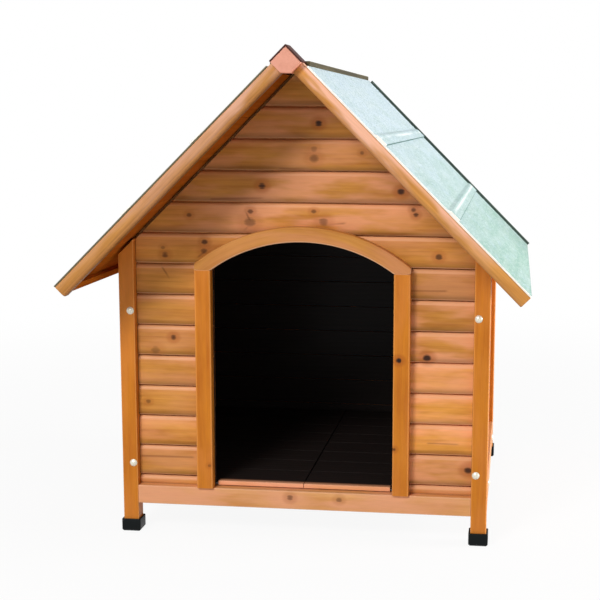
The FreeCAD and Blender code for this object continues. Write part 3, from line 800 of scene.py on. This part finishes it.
for side, label in sides:
    loop = softBox(house["roofFront"], deckFront, -roof["vergeDepth"], 0,
                   [roof["vergeRound"], 0.0012, 0.0012, 0.0016], turns=6)
    # painted light: the right verge brighter than the left
    wooden(label + "_front_verge", loop, roof["blockSide"], house["eave"], downSlope(side), 0.0008, 61 + side,
           vergeWood, "verge_wood", "front" + label.title() + "Verge", rise=vergeRise, ruddy=vergeRuddy[side],
           light=0.97 + side * 0.12)
    loop = softBox(deckRear, house["roofRear"], -roof["vergeDepth"], 0, 0.0012)
    v = loop[0][:, 1]
    start = np.maximum(-v, (house["ridge"] + v * slopeCos - house["ridgeBoardLow"]) / slopeSin)
    wooden(label + "_rear_verge", loop, start, house["eave"], downSlope(side), 0.0008, 65 + side, vergeWood,
           "verge_wood", "rear" + label.title() + "Verge")
    solids = []
    for index in range(roof["boards"]):
        near = roof["topGap"] + index * deckWidth
        loop = softBox(near, near + deckWidth - roof["joint"], -roof["deck"], 0, 0.0009)
        solids.append(carry(loop, deckFront, deckRear, onSlope(side), cutSoften,
                            number=numbered(index + 70 + side * 2)))
    piece(label + "_roof_deck", solids, deckWood)
    loop = softBox(deckEnd - roof["battenWidth"], deckEnd, -roof["deck"] - roof["battenDepth"], -roof["deck"],
                   0.0009)
    # painted light: the eave batten made brighter than the deck
    wooden(label + "_eave_batten", loop, deckFront, deckRear, onSlope(side), cutSoften, 77 + side, deckWood,
           "roof_wood", ruddy=0.0, light=1.18)
print("roof timber made")

felts = {"thick": 0.0026, "cover": 0.1506, "lap": 0.018, "ramp": 0.006, "flat": 0.026}
seams = [house["eave"] - 2 * felts["cover"], house["eave"] - felts["cover"]]
courses = (("upper", roof["topGap"], seams[0], True), ("middle", seams[0] - felts["lap"], seams[1], True),
           ("lower", seams[1] - felts["lap"], house["eave"], False))


def feltLoop(near, far, lapped):
    # A strip of felt, whose lower edge steps up over the next course's upper edge
    thick = felts["thick"]
    if not lapped:
        return softBox(near, far, 0, thick, 0.0007, spacing=closeSpacing)
    lap = far - felts["lap"]
    ramp = lap - felts["ramp"]
    corners = [(near, 0), (lap - 0.0003, 0), (lap - 0.0001, thick), (far, thick), (far, 2 * thick),
               (lap, 2 * thick), (ramp, thick), (near, thick)]
    radii = [0.0007, 0.0003, 0.0002, 0.0007, 0.0007, 0.002, 0.002, 0.0007]
    return softLoop(corners, radii, spacing=closeSpacing)


def cutEdge(far):
    # the lower edge of a course, which is painted dark
    return lambda points: (np.abs(points[:, 0] - far) < 0.00078).astype(float)


def aboveSeam(far):
    # 0 at a course's lower edge and 1 further up, where it lies flat again
    return lambda points: np.clip((far - points[:, 0]) / felts["flat"], 0, 1)


for side, label in sides:
    for name, near, far, lapped in courses:
        wooden(label + "_" + name + "_felt", feltLoop(near, far, lapped), house["roofFront"],
               house["roofRear"], onSlope(side), cutSoften, near * 100, felt, "felt", spacing=0.012,
               inside=cutEdge(far), edge=lambda points: 0.0, rise=aboveSeam(far if lapped else 2 * far),
               # the felt on the left slope gets painted shade on its cut ends
               ruddy=1.0 if side < 0 else 0.0)
print("felt made")

ridge = {"boardThick": 0.0075, "blockFront": -0.380, "blockLength": 0.036, "foot": 0.001, "cover": 0.0025}
boardHalf = (roof["topGap"] * slopeCos + felts["thick"] * slopeSin) - 0.0006
blockRear = ridge["blockFront"] + ridge["blockLength"]
boardTop = house["ridgeBoardLow"] + ridge["boardThick"]
loop = softBox(-boardHalf, boardHalf, house["ridgeBoardLow"], boardTop, 0.0012)
piece("ridge_board", [carry(loop, blockRear, house["roofRear"], alongY, 0.0008, number=0.4)], ridgePaint)
low = onRoof(roof["blockSide"], -roof["vergeDepth"] - ridge["foot"])
corner = onRoof(roof["blockSide"], 0)
loop = softLoop([(0, house["ridge"]), corner, low, (-low[0], low[1]), (-corner[0], corner[1])], 0.0008,
                spacing=closeSpacing)
solid = carry(loop, ridge["blockFront"], blockRear, alongY, 0.0007, number=0.72, ruddy=1.0, light=0.94)
piece("ridge_block", [solid], blockWood)
outer = onRoof(roof["blockSide"], ridge["cover"])
top = house["ridge"] + ridge["cover"] / slopeCos
corners = [(0, house["ridge"]), corner, outer, (0, top), (-outer[0], outer[1]), (-corner[0], corner[1])]
loop = softLoop(corners, [0.0003, 0.0003, 0.0005, 0.001, 0.0005, 0.0003], spacing=closeSpacing)
solid = carry(loop, ridge["blockFront"], blockRear, alongY, 0.0003, number=0.3)
piece("ridge_block_cover", [solid], coverPaint)

strip = {"wide": 0.006, "high": 0.005, "gap": 0.004}
loop = softBox(house["roofRear"] - strip["wide"], house["roofRear"], felts["thick"],
               felts["thick"] + strip["high"], 0.0008)
strips = [carry(loop, boardHalf / slopeCos + strip["gap"], house["eave"], downSlope(side), cutSoften,
                number=numbered(side + 3)) for side, _ in sides]
piece("rear_drip_strips", strips, stripPaint)
print("ridge made")

floor = {"low": 0.079, "thick": 0.007, "gap": 0.002, "count": 8, "tabHalf": 0.140, "tabFront": 0.014,
         "clear": 0.002, "middle": 0.001, "sillMiddle": 0.0005, "round": 0.0007}
floorFront = wallFront + post + floor["clear"]
floorRear = wallRear - post - floor["clear"]
floorTop = floor["low"] + floor["thick"]
step = (floorRear - floorFront + floor["gap"]) / floor["count"]


def sillFace(points):
    # all but the front edge of the sill, which is darkened as painted shade
    return np.clip((points[:, 0] - points[:, 0].min() - 0.0008) / 0.0006, 0, 1)


for side, label in sides:
    reach = sorted((side * floor["middle"], side * (inner - floor["clear"])))
    tabReach = sorted((side * floor["sillMiddle"], side * floor["tabHalf"]))
    solids = []
    for index in range(floor["count"]):
        y0 = floorFront + index * step
        loop = softBox(y0, y0 + step - floor["gap"], floor["low"], floorTop, floor["round"])
        # painted shade: the floor boards are darkened all over
        solids.append(carry(loop, *reach, alongX, cutSoften, number=numbered(index + 90 + side),
                            inside=lambda points: 1.0))
    loop = softBox(wallFront + floor["tabFront"], floorFront + 0.002, floor["low"], floorTop,
                   floor["round"])
    solids.append(carry(loop, *tabReach, alongX, 0.0002, number=numbered(90 + side), inside=sillFace,
                        ruddy=0.9, light=1.28))
    piece(label + "_floor_boards", solids, floorWood, label + "_floor_panel")
print("floor made")


def turned(profile, seat, axis, count=32):
    # A profile of radius and height turned round an axis; its poles are closed by small faces
    profile = np.asarray(profile, float)
    angle = np.linspace(0, 2 * math.pi, count, endpoint=False)
    radius, height = profile[:, 0][:, None], profile[:, 1][:, None]
    local = np.stack([radius * np.cos(angle), radius * np.sin(angle), height + 0 * angle], -1)
    axis = np.asarray(axis, float)
    across = np.cross(axis, (0.0, 0.0, 1.0) if abs(axis[2]) < 0.5 else (1.0, 0.0, 0.0))
    up = np.cross(axis, across)
    return rings(np.asarray(seat) + local @ np.stack([across, up, axis]))


bolt = {"head": 0.006, "height": 0.0034, "inset": 0.018, "low": 0.1148, "high": 0.3645, "shank": 0.0029,
        "sideFromEnd": 0.128, "sideHeight": 0.066}
# the dome is part of a ball that meets the head's rim and its top
ball = (bolt["head"] ** 2 + bolt["height"] ** 2) / (2 * bolt["height"])
swing = math.asin(bolt["head"] / ball) * np.linspace(1, 0.05, 9)
domeRadius = ball * np.sin(swing) * 0.995
domeHeight = ball * np.cos(swing) - ball + bolt["height"] + 0.00015 * (swing > 0.6)
profile = np.r_[[(bolt["shank"], -0.004), (bolt["shank"], -0.0001), (bolt["head"] - 0.0004, -0.0001),
                 (bolt["head"], 0.0002)], np.c_[domeRadius, domeHeight]]
profile[:, 1] = np.minimum(profile[:, 1], bolt["height"])
heads = []
boltX = house["half"] - bolt["inset"]
for side in (1, -1):
    for z in (bolt["low"], bolt["high"]):
        heads.append(turned(profile, (side * boltX, wallFront, z), (0, -1, 0)))
        heads.append(turned(profile, (side * boltX, wallRear, z), (0, 1, 0)))
    for y in (wallFront + bolt["sideFromEnd"], wallRear - bolt["sideFromEnd"]):
        heads.append(turned(profile, (side * house["half"], y, bolt["sideHeight"]), (side, 0, 0)))
piece("dome_bolts", heads, boltZinc)

screw = np.array([(0.0019, -0.003), (0.0019, 0.0), (0.0038, 0.0), (0.004, 0.0004), (0.004, 0.0011),
                  (0.0036, 0.0017), (0.0028, 0.00195), (0.0016, 0.002), (0.0013, 0.0012), (0.0004, 0.0009)])
screwInset = post + 0.060
screwPlaces = np.linspace(wallFront + screwInset, wallRear - screwInset, 4)
screws = [turned(screw, (0, y, boardTop), (0, 0, 1), 24) for y in screwPlaces]
piece("ridge_board_screws", screws, screwZinc)

halfPost = post / 2
footShape = {"clearance": 0.0004, "wall": 0.0026, "round": 0.0022}


def footCap(x, y):
    # A rounded square carried through rows of inset and height: chamfer, outer wall, rim, pocket
    rows = np.array([(0.0032, 0.0), (0.0026, 0.0), (0.0002, 0.0023), (0.0, 0.0028), (0.0, 0.0198),
                     (0.0002, 0.0203), (0.0006, 0.0205), (0.0021, 0.0205), (0.0025, 0.0203), (0.0026, 0.0198),
                     (0.0026, 0.0052)])
    half = halfPost + footShape["clearance"] + footShape["wall"]
    loop = softBox(-half, half, -half, half, footShape["round"], turns=5, spacing=0.006)[0]
    inset, height = rows[:, 0][:, None, None], rows[:, 1][:, None]
    section = loop[None] - outwards(loop)[None] * inset
    section = np.clip(section, -half + inset, half - inset)
    return rings(np.stack([section[..., 0] + x, section[..., 1] + y,
                           np.broadcast_to(height, section.shape[:2])], -1))


for side, label in sides:
    for end, y in (("front", wallFront + halfPost), ("rear", wallRear - halfPost)):
        cap = footCap(side * (house["half"] - halfPost), y)
        piece(end + "_" + label + "_foot", [cap], capPlastic)
print("caps and fasteners made")

# CAD nodes that stay as they are: the hidden timber and the threaded inserts
kept = (
    (hiddenWoodX, ("front_gable_cleats", "rear_gable_cleats")),
    (hiddenWoodY, ("left_purlin", "right_purlin", "ridge_beam", "left_floor_bearer", "right_floor_bearer",
                   "middle_floor_bearer", "left_floor_battens", "right_floor_battens")),
    (insertBrass, ("threaded_inserts",)),
)
for material, names in kept:
    for name in names:
        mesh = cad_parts[name].data
        mesh.materials.clear()
        mesh.materials.append(material)
print("kept nodes finished")

ground = bpy.data.meshes.new("ground")
ground.from_pydata([(-14, -14, 0), (14, -14, 0), (14, 14, 0), (-14, 14, 0)], [], [(0, 1, 2, 3)])
groundObject = linked("ground", ground)
studio = {"floorWhite": 0.92, "world": 0.27, "key": 62.0, "right": 96.0, "top": 8.0}


def whiteFloor():
    # Pale ground that keeps a faint shadow near the house, fades to the white behind it with distance,
    # and shows its true shade under the middle of the house
    material, w = startMaterial("paleFloor")
    x, y, _ = w.place().split()
    far = ((x * x + y * y) ** 0.5).step(0.7, 2.4)
    deep = x.step(-0.28, -0.2) * (1 - x.step(0.2, 0.28)) * y.step(-0.09, 0.02) * (1 - y.step(0.22, 0.3))
    matt = w.put("ShaderNodeBsdfDiffuse", {}, {"Color": (0.8, 0.8, 0.8, 1)})
    glow = w.put("ShaderNodeEmission", {}, {"Color": (1, 1, 1, 1), "Strength": 1.0})
    white = w.seen() * (far * (1 - studio["floorWhite"]) + studio["floorWhite"]) * (1 - deep)
    both = w.put("ShaderNodeMixShader", {}, {0: white, 1: matt, 2: glow})
    w.put("ShaderNodeOutputMaterial", {}, {"Surface": both}, None)
    return material


ground.materials.append(whiteFloor())
world = bpy.data.worlds.new("studio")
bpy.context.scene.world = world
world.use_nodes = True
world.node_tree.nodes.clear()
w = Wire(world.node_tree, None)
sky = w.put("ShaderNodeBackground", {},
            {"Color": (1, 1, 1, 1), "Strength": w.seen() * (1 - studio["world"]) + studio["world"]})
w.put("ShaderNodeOutputWorld", {}, {"Surface": sky}, None)


def standing(right, up, back, place):
    # the matrix of a lamp or camera that looks along minus back
    return Matrix([[right[i], up[i], back[i], place[i]] for i in range(3)] + [[0, 0, 0, 1]])


def softLamp(name, power, place, aim, size):
    lamp = bpy.data.lights.new(name, "AREA")
    lamp.energy = power
    lamp.shape = "DISK"
    lamp.size = size
    made = linked(name, lamp)
    back = np.array(place, float) - np.array(aim, float)
    back /= np.linalg.norm(back)
    across = np.cross((0, 0, 1.0), back)
    across /= np.linalg.norm(across)
    made.matrix_world = standing(across, np.cross(back, across), back, place)


softLamp("keyLamp", studio["key"], (-0.95, -2.6, 2.1), (0, -0.2, 0.35), 1.0)
softLamp("rightLamp", studio["right"], (3.0, 0.1, 0.9), (0.2, 0.1, 0.4), 1.2)
softLamp("topLamp", studio["top"], (0.7, 0.7, 3.2), (0, 0.1, 0.5), 1.4)

# The photograph's camera: place in metres, turns in radians, focal length and middle in pixels
eye = {"place": (0.3274, -2.1593, 0.6752), "yaw": -0.112, "pitch": 0.1517, "roll": 0.0069, "focal": 1251.0,
       "middle": (372.9, 306.3), "frame": 600.0, "sensor": 36.0}


def makeCamera():
    data = bpy.data.cameras.new("photoCamera")
    data.sensor_width = eye["sensor"]
    data.sensor_fit = "HORIZONTAL"
    data.lens = eye["focal"] * eye["sensor"] / eye["frame"]
    data.shift_x = (eye["frame"] / 2 - eye["middle"][0]) / eye["frame"]
    data.shift_y = (eye["middle"][1] - eye["frame"] / 2) / eye["frame"]
    data.clip_start, data.clip_end = 0.05, 60
    made = linked("photoCamera", data)
    yaw, pitch, roll = eye["yaw"], eye["pitch"], eye["roll"]
    ahead = np.array([math.sin(yaw) * math.cos(pitch), math.cos(yaw) * math.cos(pitch), -math.sin(pitch)])
    right = np.array([math.cos(yaw), -math.sin(yaw), 0.0])
    up = np.cross(right, ahead)
    across = right * math.cos(roll) + up * math.sin(roll)
    above = up * math.cos(roll) - right * math.sin(roll)
    made.matrix_world = standing(across, above, -ahead, eye["place"])
    bpy.context.scene.camera = made


makeCamera()
bpy.context.scene.view_settings.view_transform = "Standard"
print("studio made")
